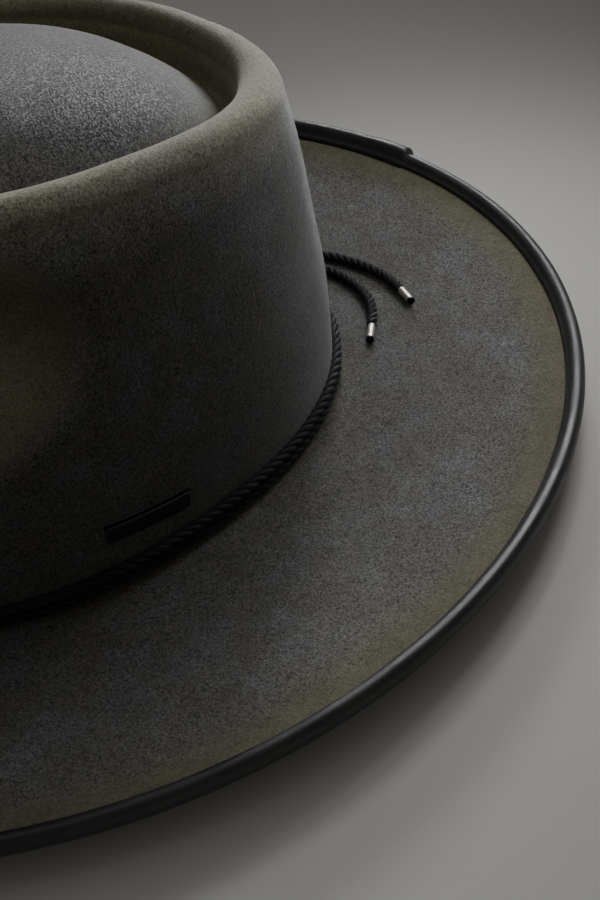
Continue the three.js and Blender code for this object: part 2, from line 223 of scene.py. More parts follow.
def new_material(name, roughness, **shader_values):
    made = bpy.data.materials.new(name)
    made.use_nodes = True
    tree = made.node_tree
    shader = tree.nodes["Principled BSDF"]
    shader.inputs["Roughness"].default_value = roughness
    for label, value in shader_values.items():
        shader.inputs[label.replace("_", " ")].default_value = value
    return made, tree, shader


def bump(tree, height, strength, distance):
    node = add_node(tree, "ShaderNodeBump", None, {"Strength": strength, "Distance": distance})
    link(tree, height, node.inputs["Height"])
    return node.outputs["Normal"]


# Effects that several materials share

def make_fibre_grain():
    """Short matted fibres: a fine light and dark grain and its height."""
    tree, start, end = new_group("fibre_grain", [
        ("Vector", "NodeSocketVector", None), ("Fine Scale", "NodeSocketFloat", 1500.0),
        ("Coarse Scale", "NodeSocketFloat", 700.0), ("Contrast", "NodeSocketFloat", 6.0),
    ], [("Shade", "NodeSocketFloat"), ("Height", "NodeSocketFloat")])
    fine = add_node(tree, "ShaderNodeTexNoise", None, {"Detail": 3.0, "Roughness": 0.7})
    coarse = add_node(tree, "ShaderNodeTexNoise", None, {"Detail": 3.0, "Roughness": 0.65, "Distortion": 0.8})
    for node, scale in ((fine, "Fine Scale"), (coarse, "Coarse Scale")):
        link(tree, start.outputs["Vector"], node.inputs["Vector"])
        link(tree, start.outputs[scale], node.inputs["Scale"])
    weighted = math_node(tree, "MULTIPLY", coarse.outputs["Fac"], 0.26)
    both = math_node(tree, "ADD", math_node(tree, "MULTIPLY", fine.outputs["Fac"], 0.74), weighted)
    centred = math_node(tree, "SUBTRACT", both, 0.5)
    spread = math_node(tree, "MULTIPLY", centred, start.outputs["Contrast"])
    link(tree, math_node(tree, "ADD", spread, 1.0), end.inputs["Shade"])
    link(tree, both, end.inputs["Height"])
    return tree


def make_soft_wear():
    """Large soft patches from 0 to 1, for handling marks and uneven dye."""
    tree, start, end = new_group("soft_wear", [
        ("Vector", "NodeSocketVector", None), ("Scale", "NodeSocketFloat", 30.0),
        ("Low", "NodeSocketFloat", 0.4), ("High", "NodeSocketFloat", 0.62),
    ], [("Mask", "NodeSocketFloat")])
    patches = add_node(tree, "ShaderNodeTexNoise", None, {"Detail": 4.0, "Roughness": 0.6, "Distortion": 0.6})
    link(tree, start.outputs["Vector"], patches.inputs["Vector"])
    link(tree, start.outputs["Scale"], patches.inputs["Scale"])
    ramp = add_node(tree, "ShaderNodeMapRange", {"interpolation_type": "SMOOTHSTEP"})
    link(tree, patches.outputs["Fac"], socket(ramp.inputs, "Value"))
    link(tree, start.outputs["Low"], socket(ramp.inputs, "From Min"))
    link(tree, start.outputs["High"], socket(ramp.inputs, "From Max"))
    link(tree, ramp.outputs[0], end.inputs["Mask"])
    return tree


FIBRE_GRAIN = make_fibre_grain()
SOFT_WEAR = make_soft_wear()


# Materials

def felt_material():
    """Brushed grey felt: matted grain, cool soft patches, rubbed to olive, flecked on the dome."""
    made, tree, shader = new_material("brushed_felt", 0.95, Specular_IOR_Level=0.15, Sheen_Weight=0.35,
                                      Sheen_Roughness=0.45, Sheen_Tint=(0.85, 0.86, 0.88, 1))
    place = add_node(tree, "ShaderNodeTexCoord").outputs["Object"]
    dome = attribute(tree, "dome").outputs["Fac"]
    rub = attribute(tree, "rub").outputs["Fac"]
    painted_light = attribute(tree, "painted_light").outputs["Fac"]

    contrast = math_node(tree, "MULTIPLY", map_range(tree, dome, 0, 1, 5.8, 7.0),
                         map_range(tree, rub, 0, 1, 1.0, 0.5))
    grain = place_group(tree, FIBRE_GRAIN, {"Vector": place, "Fine Scale": 1500.0, "Coarse Scale": 700.0,
                                            "Contrast": contrast})
    cool = place_group(tree, SOFT_WEAR, {"Vector": place, "Scale": 48.0, "Low": 0.4, "High": 0.72})
    patchy = place_group(tree, SOFT_WEAR, {"Vector": place, "Scale": 120.0, "Low": 0.3, "High": 0.75})
    ragged = place_group(tree, SOFT_WEAR, {"Vector": place, "Scale": 170.0, "Low": 0.3, "High": 0.7})

    colour = mix_colour(tree, cool.outputs["Mask"], (0.103, 0.098, 0.088, 1), (0.119, 0.12, 0.123, 1))
    broken = math_node(tree, "MULTIPLY", rub, map_range(tree, ragged.outputs["Mask"], 0, 1, 0.75, 1.0), True)
    colour = mix_colour(tree, broken, colour, (0.114, 0.106, 0.066, 1))
    colour = mix_colour(tree, math_node(tree, "MULTIPLY", dome, 0.85), colour, (0.142, 0.145, 0.152, 1))

    stretched = add_node(tree, "ShaderNodeMapping", None, {"Rotation": (0, 0, math.radians(38)),
                                                           "Scale": (1.0, 1.9, 1.0)})
    link(tree, place, stretched.inputs["Vector"])
    flecks = noise_value(tree, stretched.outputs["Vector"], 1450.0, 2.0)
    flecks = map_range(tree, flecks, 0.36, 0.64, -1.6, 1.8)
    flecked = math_node(tree, "MULTIPLY", dome, map_range(tree, cool.outputs["Mask"], 0, 1, 0.7, 1.0))
    flecks = math_node(tree, "ADD", math_node(tree, "MULTIPLY", flecks, flecked), 1.0)

    shade = math_node(tree, "MULTIPLY", grain.outputs["Shade"],
                      map_range(tree, patchy.outputs["Mask"], 0, 1, 0.92, 1.07))
    shade = math_node(tree, "MAXIMUM", math_node(tree, "MULTIPLY", shade, flecks), 0.2)
    shaded = add_node(tree, "ShaderNodeVectorMath", {"operation": "SCALE"})
    link(tree, colour, shaded.inputs[0])
    # The colour is scaled by the painted light and shade that each point carries.
    link(tree, math_node(tree, "MULTIPLY", shade, painted_light), shaded.inputs["Scale"])
    link(tree, shaded.outputs[0], shader.inputs["Base Color"])
    link(tree, bump(tree, grain.outputs["Height"], 0.7, 0.0004), shader.inputs["Normal"])
    return made


def leather_material():
    """Black leather, softly pebbled and a little browned by handling, with its cut edge by the felt painted
    near black as the shade in the gap between them.
    """
    made, tree, shader = new_material("binding_leather", 0.42, Specular_IOR_Level=0.62)
    place = add_node(tree, "ShaderNodeTexCoord").outputs["Object"]
    handled = place_group(tree, SOFT_WEAR, {"Vector": place, "Scale": 60.0, "Low": 0.35, "High": 0.7})
    pores = add_node(tree, "ShaderNodeTexVoronoi", {"feature": "DISTANCE_TO_EDGE"}, {"Scale": 1300.0})
    link(tree, place, pores.inputs["Vector"])
    pebble = map_range(tree, pores.outputs["Distance"], 0.0, 0.12, 0.0, 1.0)
    colour = mix_colour(tree, handled.outputs["Mask"], (0.017, 0.017, 0.018, 1), (0.027, 0.0265, 0.0245, 1))
    creases = math_node(tree, "MULTIPLY", math_node(tree, "SUBTRACT", 1.0, pebble), 0.35)
    colour = mix_colour(tree, creases, colour, (0.008, 0.008, 0.008, 1))
    # Painted shade: the cut edge next to the felt is painted near black for the shadowed gap.
    colour = mix_colour(tree, attribute(tree, "cut_edge_painted_shade").outputs["Fac"], colour, (0.002, 0.002, 0.002, 1))
    link(tree, colour, shader.inputs["Base Color"])
    link(tree, map_range(tree, handled.outputs["Mask"], 0, 1, 0.4, 0.5), shader.inputs["Roughness"])
    soft = noise_value(tree, place, 260.0, 2.0)
    height = math_node(tree, "ADD", math_node(tree, "MULTIPLY", pebble, 0.25), soft)
    link(tree, bump(tree, height, 0.25, 0.00018), shader.inputs["Normal"])
    return made


def cord_material():
    """Black satin yarn: fine threads that run along each strand."""
    made, tree, shader = new_material("black_cord", 0.6, Specular_IOR_Level=0.24, Sheen_Weight=0.05,
                                      Sheen_Roughness=0.4, Sheen_Tint=(0.7, 0.7, 0.75, 1))
    across = attribute(tree, "across").outputs["Vector"]
    along = attribute(tree, "along").outputs["Fac"]
    split = add_node(tree, "ShaderNodeSeparateXYZ")
    link(tree, across, split.inputs[0])
    joined = add_node(tree, "ShaderNodeCombineXYZ")
    link(tree, math_node(tree, "MULTIPLY", split.outputs[0], 5.0), joined.inputs[0])
    link(tree, math_node(tree, "MULTIPLY", split.outputs[1], 5.0), joined.inputs[1])
    link(tree, math_node(tree, "MULTIPLY", along, 150.0), joined.inputs[2])
    threads = noise_value(tree, joined.outputs[0], 2.0, 2.0, 0.55)
    colour = mix_colour(tree, map_range(tree, threads, 0.35, 0.68, 0.0, 1.0),
                        (0.01, 0.01, 0.0105, 1), (0.031, 0.031, 0.033, 1))
    link(tree, colour, shader.inputs["Base Color"])
    link(tree, map_range(tree, threads, 0.3, 0.7, 0.78, 0.6), shader.inputs["Roughness"])
    link(tree, bump(tree, threads, 0.4, 0.0002), shader.inputs["Normal"])
    return made


def tape_material():
    """Blank black satin tape with a light thread along its fold."""
    made, tree, shader = new_material("woven_tape", 0.6, Specular_IOR_Level=0.35, Sheen_Weight=0.12,
                                      Sheen_Roughness=0.4, Sheen_Tint=(0.75, 0.75, 0.75, 1))
    lay = add_node(tree, "ShaderNodeUVMap", {"uv_map": "cloth"}).outputs["UV"]
    split = add_node(tree, "ShaderNodeSeparateXYZ")
    link(tree, lay, split.inputs[0])
    threads = []
    for axis, pitch in ((0, 0.00022), (1, 0.0003)):
        angle = math_node(tree, "MULTIPLY", split.outputs[axis], 2 * math.pi / pitch)
        threads.append(math_node(tree, "SINE", angle))
    weave = math_node(tree, "MULTIPLY", threads[0], threads[1])
    worn = place_group(tree, SOFT_WEAR, {"Vector": lay, "Scale": 300.0, "Low": 0.35, "High": 0.7})
    colour = mix_colour(tree, map_range(tree, weave, -1, 1, 0.0, 1.0), (0.0035, 0.0035, 0.004, 1),
                        (0.011, 0.011, 0.012, 1))
    colour = mix_colour(tree, math_node(tree, "MULTIPLY", worn.outputs["Mask"], 0.4), colour,
                        (0.016, 0.015, 0.014, 1))
    fold = attribute(tree, "fold").outputs["Fac"]
    beads = math_node(tree, "SINE", math_node(tree, "MULTIPLY", split.outputs[0], 2 * math.pi / 0.0008))
    thread = math_node(tree, "MULTIPLY", fold, map_range(tree, beads, -1, 0.4, 0.45, 1.0), True)
    colour = mix_colour(tree, thread, colour, (0.1, 0.097, 0.09, 1))
    link(tree, colour, shader.inputs["Base Color"])
    link(tree, bump(tree, weave, 0.4, 0.00006), shader.inputs["Normal"])
    return made


def nickel_material():
    """Bright nickel, dulled in patches and finely scratched, with painted shade inside the tube's mouth and
    over its far rim.
    """
    made, tree, shader = new_material("worn_nickel", 0.42, Metallic=1.0)
    place = add_node(tree, "ShaderNodeTexCoord").outputs["Object"]
    inside = attribute(tree, "inside").outputs["Fac"]
    tarnish = place_group(tree, SOFT_WEAR, {"Vector": place, "Scale": 380.0, "Low": 0.4, "High": 0.7})
    colour = mix_colour(tree, math_node(tree, "MULTIPLY", tarnish.outputs["Mask"], 0.5),
                        (0.8, 0.76, 0.68, 1), (0.62, 0.57, 0.47, 1))
    # Painted shade: the mouth and far rim are painted near black.
    colour = mix_colour(tree, inside, colour, (0.02, 0.019, 0.018, 1))
    link(tree, colour, shader.inputs["Base Color"])
    link(tree, map_range(tree, tarnish.outputs["Mask"], 0, 1, 0.36, 0.52), shader.inputs["Roughness"])
    scratches = noise_value(tree, place, 3200.0, 2.0)
    link(tree, bump(tree, scratches, 0.2, 0.00005), shader.inputs["Normal"])
    return made


def floor_material():
    made, tree, shader = new_material("pale_floor", 0.75, Specular_IOR_Level=0.2)
    place = add_node(tree, "ShaderNodeTexCoord").outputs["Object"]
    uneven = place_group(tree, SOFT_WEAR, {"Vector": place, "Scale": 3.0, "Low": 0.2, "High": 0.8})
    link(tree, mix_colour(tree, uneven.outputs["Mask"], (0.6, 0.59, 0.57, 1), (0.64, 0.63, 0.61, 1)),
         shader.inputs["Base Color"])
    return made


# Mesh helpers

def finish_mesh(name, points, faces, material, values=None):
    """A smooth mesh object from points in metres, with its own value for each point where one is given."""
    mesh = bpy.data.meshes.new(name)
    mesh.from_pydata([tuple(point) for point in points], [], faces)
    for label, numbers in (values or {}).items():
        layer = mesh.attributes.new(label, "FLOAT", "POINT")
        layer.data.foreach_set("value", np.asarray(numbers, np.float32))
    mesh.polygons.foreach_set("use_smooth", [True] * len(mesh.polygons))
    mesh.materials.append(material)
    mesh.validate()
    made = bpy.data.objects.new(name, mesh)
    bpy.context.scene.collection.objects.link(made)
    return made


def grid_faces(rows, columns, start=0, flipped=False):
    """Four-sided faces between rows of points that go round and close."""
    faces = []
    for row in range(rows - 1):
        for column in range(columns):
            after = (column + 1) % columns
            face = (start + row * columns + column, start + row * columns + after,
                    start + (row + 1) * columns + after, start + (row + 1) * columns + column)
            faces.append(face[::-1] if flipped else face)
    return faces


def face_outwards(item):
    mesh = bmesh.new()
    mesh.from_mesh(item.data)
    bmesh.ops.recalc_face_normals(mesh, faces=mesh.faces)
    mesh.to_mesh(item.data)
    mesh.free()


# The hat's shape

def curve_point(knots, place):
    """A point on the smooth curve through the knots, its place counted in knots from the first."""
    first = min(int(place), len(knots) - 2)
    t = place - first
    before = knots[max(first - 1, 0)]
    here = knots[first]
    there = knots[first + 1]
    beyond = knots[min(first + 2, len(knots) - 1)]
    return 0.5 * (2 * here + (there - before) * t + (2 * before - 5 * here + 4 * there - beyond) * t ** 2
                  + (3 * here - before - 3 * there + beyond) * t ** 3)


def mix(first, second, share):
    return first + (second - first) * share


def smooth(low, high, value):
    share = np.clip((value - low) / (high - low), 0, 1)
    return share * share * (3 - 2 * share)


def oval_radius(angle, half_width, half_length, fullness):
    across = np.abs(np.cos(angle) / half_width) ** fullness
    along = np.abs(np.sin(angle) / half_length) ** fullness
    return (across + along) ** (-1 / fullness)


def polar(angle, radius, height):
    return np.stack([radius * np.cos(angle), radius * np.sin(angle), height + 0 * angle], -1)


def leaned(angle, radius, height, share):
    """Points round the hat that take a share of the crown's fall from front to back."""
    return polar(angle, radius, height - CROWN_FALL * radius * np.sin(angle) * share)


def dent_share(angle, height):
    """How far into a front pinch each place lies, from 0 at its rim to 1 in its middle."""
    near = 0 * angle
    for degrees in DENT_DEGREES:
        turn = angle - math.radians(degrees)
        across = np.arctan2(np.sin(turn), np.cos(turn)) * CROWN_HALF_WIDTH / DENT_ACROSS
        rise = height - DENT_MIDDLE * RIDGE_HEIGHT
        reach = np.where(rise > 0, DENT_ABOVE, DENT_BELOW)
        near = near + np.maximum(0, 1 - across ** 2 - (rise / reach) ** 2)
    return near


def wall_points(angle, up):
    swell = WALL_SWELL * 4 * up * (1 - up)
    half_length = mix(CROWN_HALF_LENGTH, RIDGE_HALF_LENGTH + RIDGE_RADIUS, up) + swell
    half_width = mix(CROWN_HALF_WIDTH, RIDGE_HALF_WIDTH + RIDGE_RADIUS, up) + swell
    height = mix(CROWN_FOOT_RADIUS, RIDGE_HEIGHT, up)
    radius = oval_radius(angle, half_width, half_length, mix(CROWN_FULLNESS, RIDGE_FULLNESS, up))
    pinch = DENT_DEPTH * dent_share(angle, height) ** DENT_SOFTNESS
    return leaned(angle, radius - pinch, FELT + height, up)


def wall_radius_at(angle, height):
    """How far out the crown's wall stands at a height, found in a few steps."""
    angle = np.asarray(angle, float)
    up = 0 * angle
    for _ in range(8):
        low = wall_points(angle, up)[..., 2]
        high = wall_points(angle, up + 0.01)[..., 2]
        up = np.maximum(0, up + (height - low) * 0.01 / (high - low))
    found = wall_points(angle, up)
    return np.hypot(found[..., 0], found[..., 1])


def ridge_points(angle, turn):
    out = RIDGE_RADIUS * math.cos(turn)
    radius = oval_radius(angle, RIDGE_HALF_WIDTH + out, RIDGE_HALF_LENGTH + out, RIDGE_FULLNESS)
    return leaned(angle, radius, FELT + RIDGE_HEIGHT + RIDGE_RADIUS * math.sin(turn), 1)


def gutter_points(angle, inset, drop):
    inside = RIDGE_RADIUS + inset
    radius = oval_radius(angle, RIDGE_HALF_WIDTH - inside, RIDGE_HALF_LENGTH - inside, RIDGE_FULLNESS)
    return leaned(angle, radius, FELT + RIDGE_HEIGHT - drop, 1)


def dome_points(angle, reach):
    inside = RIDGE_RADIUS + GUTTER_WIDTH
    radius = reach * oval_radius(angle, RIDGE_HALF_WIDTH - inside, RIDGE_HALF_LENGTH - inside, RIDGE_FULLNESS)
    return leaned(angle, radius, FELT + DOME_HEIGHT - DOME_DROP * reach ** DOME_FLATNESS, 1)


FELT_HALF_LENGTH = CROWN_HALF_LENGTH + BRIM_END_WIDTH
FELT_HALF_WIDTH = CROWN_HALF_WIDTH + BRIM_SIDE_WIDTH
LIP_FOOT_INSET = FELT + LIP_FOOT_RADIUS


def edge_points(angle, inset, height):
    return polar(angle, oval_radius(angle, FELT_HALF_WIDTH - inset, FELT_HALF_LENGTH - inset, 2), height)


def brim_height(out):
    rising = np.maximum(0, (out - BRIM_FLAT_SHARE) / (1 - BRIM_FLAT_SHARE))
    return FELT + BRIM_RISE * rising ** BRIM_RISE_BEND


def brim_ends(angle):
    """Where the brim's upper side starts at the crown and where it ends at the lip."""
    inner = oval_radius(angle, CROWN_HALF_WIDTH, CROWN_HALF_LENGTH, CROWN_FULLNESS) + CROWN_FOOT_RADIUS
    outer = oval_radius(angle, FELT_HALF_WIDTH - LIP_FOOT_INSET, FELT_HALF_LENGTH - LIP_FOOT_INSET, 2)
    return inner, outer


def brim_points(angle, out):
    inner, outer = brim_ends(angle)
    return polar(angle, mix(inner, outer, out), brim_height(out))


def brim_top_at(x, y):
    inner, outer = brim_ends(np.arctan2(y, x))
    return brim_height((np.hypot(x, y) - inner) / (outer - inner))


# Felt

def soft_groove(share):
    """The gutter in section: inset and drop as shares of its width and of its depth."""
    knots = np.array([(0, 0), (0.03, 0.35), (0.1, 0.7), (0.26, 0.94), (0.5, 1), (0.76, 0.9), (1, 0.75)])
    return curve_point(knots, share * (len(knots) - 1))


def felt_row(points, rub, flecks=0.0, painted_light=1.0, loose=1.0):
    """A row round the felt: how rubbed and how flecked it is, how much painted light or shade it carries, and
    how freely it waves.
    """
    level = np.zeros(FELT_STEPS)
    return {"points": points, "rub": rub + level, "flecks": flecks + level, "painted_light": painted_light + level,
            "loose": loose}


def lip_rows(angle):
    foot = brim_height(1.0)
    top = foot + LIP_FOOT_RADIUS + LIP_HEIGHT - LIP_CLEARANCE
    heights = (top, mix(top, foot + LIP_FOOT_RADIUS, 0.5))
    rows = [felt_row(edge_points(angle, FELT, height), 0.5, loose=0) for height in heights]
    for step in range(4):
        turn = step * math.pi / 6
        inset = LIP_FOOT_INSET - LIP_FOOT_RADIUS * math.cos(turn)
        height = foot + LIP_FOOT_RADIUS * (1 - math.sin(turn))
        rows.append(felt_row(edge_points(angle, inset, height), 0.5, loose=0))
    return rows


def brim_rows(angle):
    """From the lip in to the crown: rubbed along the edge, with painted shade near the crown and painted
    light towards the back on the wearer's left.
    """
    rows = []
    for out in np.linspace(0.985, 0.02, 50):
        edge = float(smooth(0.74, 0.97, out))
        free = float(smooth(0.45, 0.6, out) * (1 - smooth(0.85, 0.97, out)))
        # Painted shade near the crown and painted light towards the back on the wearer's left.
        painted_light = mix(0.8, 1.16, float(smooth(0.15, 0.8, out))) * (0.92 + 0.18 * np.cos(angle - 0.9))
        rows.append(felt_row(brim_points(angle, out), 0.95 * edge, painted_light=painted_light, loose=free))
    return rows


def crown_foot_rows(angle):
    radius = oval_radius(angle, CROWN_HALF_WIDTH, CROWN_HALF_LENGTH, CROWN_FULLNESS)
    rows = []
    for step in range(7):
        turn = step * math.pi / 12
        out = CROWN_FOOT_RADIUS * (1 - math.sin(turn))
        height = FELT + CROWN_FOOT_RADIUS * (1 - math.cos(turn))
        # Painted shade where the crown meets the brim: these rows are painted darker.
        rows.append(felt_row(polar(angle, radius + out, height), 0.6, painted_light=0.8, loose=0))
    return rows


def wall_rows(angle):
    """Up the crown's wall: painted light under the ridge and painted shade low on the wall, and rubbed with
    painted light low in each pinch.
    """
    rows = []
    for up in np.linspace(0, 1, 64)[1:-1]:
        height = mix(CROWN_FOOT_RADIUS, RIDGE_HEIGHT, up)
        near = np.clip(dent_share(angle, height), 0, 1)
        rub = np.maximum(smooth(0.0, 0.35, near) * 0.9, float(smooth(0.93, 1.0, up)) * 0.5)
        rub = np.maximum(rub, 0.6 * float(1 - smooth(0.0, 0.12, up)))
        above_middle = height - DENT_MIDDLE * RIDGE_HEIGHT
        # Painted light and shade: darker low on the wall, lighter under the ridge and low in each pinch.
        painted_light = mix(0.7, RIDGE_FOOT_PAINTED_LIGHT, float(smooth(0.84, 1.0, up)))
        painted_light = painted_light + near * mix(2.0, 0.25, smooth(-0.025, 0.004, above_middle))
        rows.append(felt_row(wall_points(angle, up), rub, painted_light=painted_light, loose=float(smooth(0.3, 0.5, up))))
    return rows


def ridge_rows(angle):
    """Over the ridge: more rubbed towards the gutter, with painted light that is strongest at the front on
    the wearer's left.
    """
    rows = []
    for step in range(17):
        turn = step * math.pi / 16
        rub = 0.5 + 0.5 * float(smooth(0.9, 3.1, turn))
        # Painted light over the ridge, strongest at the front on the wearer's left.
        painted_light = mix(RIDGE_FOOT_PAINTED_LIGHT, 2.0 + 0.6 * np.cos(angle + 1.2), float(smooth(0.0, 0.8, turn)))
        rows.append(felt_row(ridge_points(angle, turn), rub, painted_light=painted_light))
    return rows


def gutter_rows(angle):
    rows = []
    for step in range(1, 12):
        inset, drop = soft_groove(step / 12)
        points = gutter_points(angle, inset * GUTTER_WIDTH, drop * GUTTER_DEPTH)
        # Painted light in the gutter.
        rows.append(felt_row(points, 1.0, painted_light=GUTTER_PAINTED_LIGHT))
    return rows


def dome_rows(angle):
    """From the gutter to near the dome's middle, with the flecks strongest round their patch."""
    rows = []
    for reach in 1 - np.linspace(0, 1, 34)[:-1] ** 1.25:
        points = dome_points(angle, reach)
        from_patch = np.hypot(points[:, 0] - FLECKED_PATCH[0], points[:, 1] - FLECKED_PATCH[1])
        flecks = 0.25 + 0.75 * (1 - smooth(0.01, 0.04, from_patch))
        flecks = flecks * float(1 - smooth(0.8, 0.97, reach))
        # A little painted shade over the dome.
        rows.append(felt_row(points, float(smooth(0.9, 1.0, reach)), flecks, DOME_PAINTED_SHADE))
    return rows


def uneven(points, amount):
    """Small hand-made waves in the felt, a share of a millimetre high."""
    moved = points.copy()
    for number, point in enumerate(points):
        wave = noise.noise(Vector(point) * 21.0) * 0.7 + noise.noise(Vector(point) * 55.0) * 0.3
        moved[number, 2] += amount * wave
        out = Vector((point[0], point[1], 0)).normalized()
        side = noise.noise(Vector(point) * 24.0 + Vector((5, 3, 1)))
        moved[number, 0] += amount * side * out.x
        moved[number, 1] += amount * side * out.y
    return moved


def tab_frame(share):
    angle = TAB_ANGLE + share * TAB_WIDTH / CROWN_HALF_WIDTH
    return angle, TAB_HEIGHT + share * TAB_WIDTH * math.tan(TAB_TILT)


def tab_section(share, outline):
    """A section of the tab or its slot, its corners given as out from the wall and up from the slot."""
    angle, height = tab_frame(share)
    points = []
    for out, up in outline:
        radius = float(wall_radius_at(angle, height + up)) + out
        points.append((radius * math.cos(angle), radius * math.sin(angle), height + up))
    return np.array(points) + HAT_SHIFT


def lofted(name, sections, material, values=None):
    """A closed solid through like sections with flat ends."""
    columns = len(sections[0])
    count = len(sections) * columns
    faces = grid_faces(len(sections), columns)
    faces += [tuple(range(columns))[::-1], tuple(range(count - columns, count))]
    made = finish_mesh(name, np.concatenate(sections), faces, material, values)
    face_outwards(made)
    return made


def cut_tab_slot(body, material):
    half = TAB_THICKNESS / 2 + GAP
    outline = [(-3 * FELT, -half), (2 * FELT, -half), (2 * FELT, half), (-3 * FELT, half)]
    reach = 0.5 + GAP / TAB_WIDTH
    sections = [tab_section(share, outline) for share in np.linspace(-reach, reach, 9)]
    slot = lofted("slot_cutter", sections, material)
    cut = body.modifiers.new("slot", "BOOLEAN")
    cut.operation, cut.solver, cut.object = "DIFFERENCE", "EXACT", slot
    body = made_plain(body)
    bpy.data.objects.remove(slot)
    return body


def felt_body(material):
    """Crown and brim as one sheet of felt with an upper and an under side, slotted for the tab."""
    angle = np.arange(FELT_STEPS) * 2 * math.pi / FELT_STEPS
    rows = lip_rows(angle) + brim_rows(angle) + crown_foot_rows(angle) + wall_rows(angle)
    rows += ridge_rows(angle) + gutter_rows(angle) + dome_rows(angle)
    upper = np.stack([uneven(row["points"], WAVE_HEIGHT * row["loose"]) for row in rows])
    top = np.array([0, 0, FELT + DOME_HEIGHT])
    inner = np.concatenate([upper[1:], np.broadcast_to(top, (1, FELT_STEPS, 3))])
    outer = np.concatenate([upper[:1], upper[:-1]])
    round_way = np.roll(upper, -1, 1) - np.roll(upper, 1, 1)
    normal = np.cross(round_way, inner - outer)
    normal /= np.linalg.norm(normal, axis=-1, keepdims=True)
    under = upper - FELT * normal
    lean = np.array([0, CROWN_FALL, 1]) / math.hypot(CROWN_FALL, 1)
    points = np.concatenate([upper.reshape(-1, 3), under.reshape(-1, 3), [top], [top - FELT * lean]])
    count = len(rows) * FELT_STEPS
    faces = grid_faces(len(rows), FELT_STEPS) + grid_faces(len(rows), FELT_STEPS, count, True)
    last = count - FELT_STEPS
    for step in range(FELT_STEPS):
        after = (step + 1) % FELT_STEPS
        faces.append((last + step, last + after, 2 * count))
        faces.append((count + last + after, count + last + step, 2 * count + 1))
        faces.append((step, count + step, count + after, after))
    rub, flecks, painted_light = (np.concatenate([row[name] for row in rows]) for name in ("rub", "flecks", "painted_light"))
    # The under side gets a little painted shade; the upper side gets its rows' painted light and shade.
    body = finish_mesh("felt_crown_and_brim", points + HAT_SHIFT, faces, material, {
        "rub": np.concatenate([rub, rub * 0.4, [0, 0]]),
        "dome": np.concatenate([flecks, 0 * flecks, [0.8, 0]]),
        "painted_light": np.concatenate([painted_light, 0 * painted_light + 0.9, [1, 0.9]])})
    return cut_tab_slot(body, material)


def made_plain(item):
    """The object with its modifiers worked into its mesh."""
    graph = bpy.context.evaluated_depsgraph_get()
    mesh = bpy.data.meshes.new_from_object(item.evaluated_get(graph), preserve_all_data_layers=True,
                                           depsgraph=graph)
    item.modifiers.clear()
    item.data = mesh
    return item


# Binding

def binding_line():
    """The leather in section over the felt's edge, from the brim's upper side to its under side.

    Each knot is how far in from the felt's edge it lies and how far above the binding's top.
    """
    foot = float(brim_height(1.0))
    top = foot + LIP_FOOT_RADIUS + LIP_HEIGHT + GAP + LEATHER
    brim = foot - top
    under = foot - FELT - GAP - LEATHER - top
    knots = np.array([
        (0.00472, brim - 0.0005), (0.00474, brim + 0.0003), (0.00466, brim + 0.0006),
        (0.0044, brim + 0.00093), (0.00405, brim + 0.0012), (0.00372, brim + 0.00165),
        (0.00346, -0.00175), (0.0032, -0.00116), (0.0028, -0.00062), (0.0023, -0.0003),
        (0.00175, -0.00008), (0.0011, 0.0), (0.00045, -0.00007), (-0.0002, -0.0004), (-0.00075, -0.001),
        (-0.0011, -0.00175), (-0.00128, -0.0027), (-0.00126, -0.0037), (-0.001, -0.0048),
        (-0.00045, -0.0058), (0.00035, -0.0066), (0.0014, -0.0072), (0.0027, under + 0.0001),
        (0.0042, under - 0.0002), (0.0058, under - 0.0006), (0.0071, under - 0.00095),
        (0.0072, under - 0.0004), (0.0072, under + 0.0002),
    ])
    line = np.array([curve_point(knots, place) for place in np.linspace(0, len(knots) - 1.001, 74)])
    return line + (0, top)


def lap_rise(past):
    """How many thicknesses of leather the lap adds at a place past the seam. Its end is folded under."""
    if past < 0:
        return 0.0
    layers = 1.55 + 0.55 * (1 - float(smooth(HEM_LENGTH * 0.6, HEM_LENGTH, past)))
    thinned = 1 - float(smooth(LAP_LENGTH - 0.02, LAP_LENGTH, past))
    return layers * min(1.0, past / 0.0011) ** 0.5 * thinned


def binding_angles(seam):
    """Stations round the brim, close together where the lap's end steps up."""
    plain = np.arange(300) * 2 * math.pi / 300
    plain = plain[np.abs(plain - seam) > 0.0022 / FELT_HALF_LENGTH]
    step = np.array([-0.0012, -0.0004, -0.00005, 0.0, 0.00006, 0.0002, 0.0004, 0.0007, 0.0011, 0.0018])
    return np.sort(np.concatenate([plain, seam + step / FELT_HALF_LENGTH]))


def edge_binding(material):
    line = binding_line()
    way = np.gradient(line, axis=0)
    way /= np.linalg.norm(way, axis=1, keepdims=True)
    outwards = np.stack([way[:, 1], -way[:, 0]], -1)
    seam = BACK - SEAM_FROM_MIDDLE / FELT_HALF_LENGTH
    raised = 0.25 + 0.75 * smooth(-0.0034, -0.0016, -line[:, 0:1])
    sections = []
    for angle in binding_angles(seam):
        rise = lap_rise((angle - seam) * FELT_HALF_LENGTH)
        wave = 0.00008 * noise.noise(Vector((math.cos(angle), math.sin(angle), 0)) * 9)
        outer = line + outwards * (LEATHER * rise * raised + wave)
        inner = line - outwards * LEATHER * 0.9
        section = np.concatenate([outer, inner[::-1]])
        sections.append(edge_points(angle + 0 * section[:, 0], section[:, 0], section[:, 1]) + HAT_SHIFT)
    columns = len(sections[0])
    faces = grid_faces(len(sections), columns)
    last = (len(sections) - 1) * columns
    for column in range(columns):
        after = (column + 1) % columns
        faces.append((last + column, last + after, after, column))
    # These points, the cut edge next to the felt, carry the painted shade of the gap.
    cut_edge_painted_shade = np.tile(np.arange(columns) < CUT_EDGE_POINTS, len(sections))
    made = finish_mesh("leather_edge_binding", np.concatenate(sections), faces, material, {
        "cut_edge_painted_shade": cut_edge_painted_shade})
    face_outwards(made)
    return made


# Rope, by Geometry Nodes

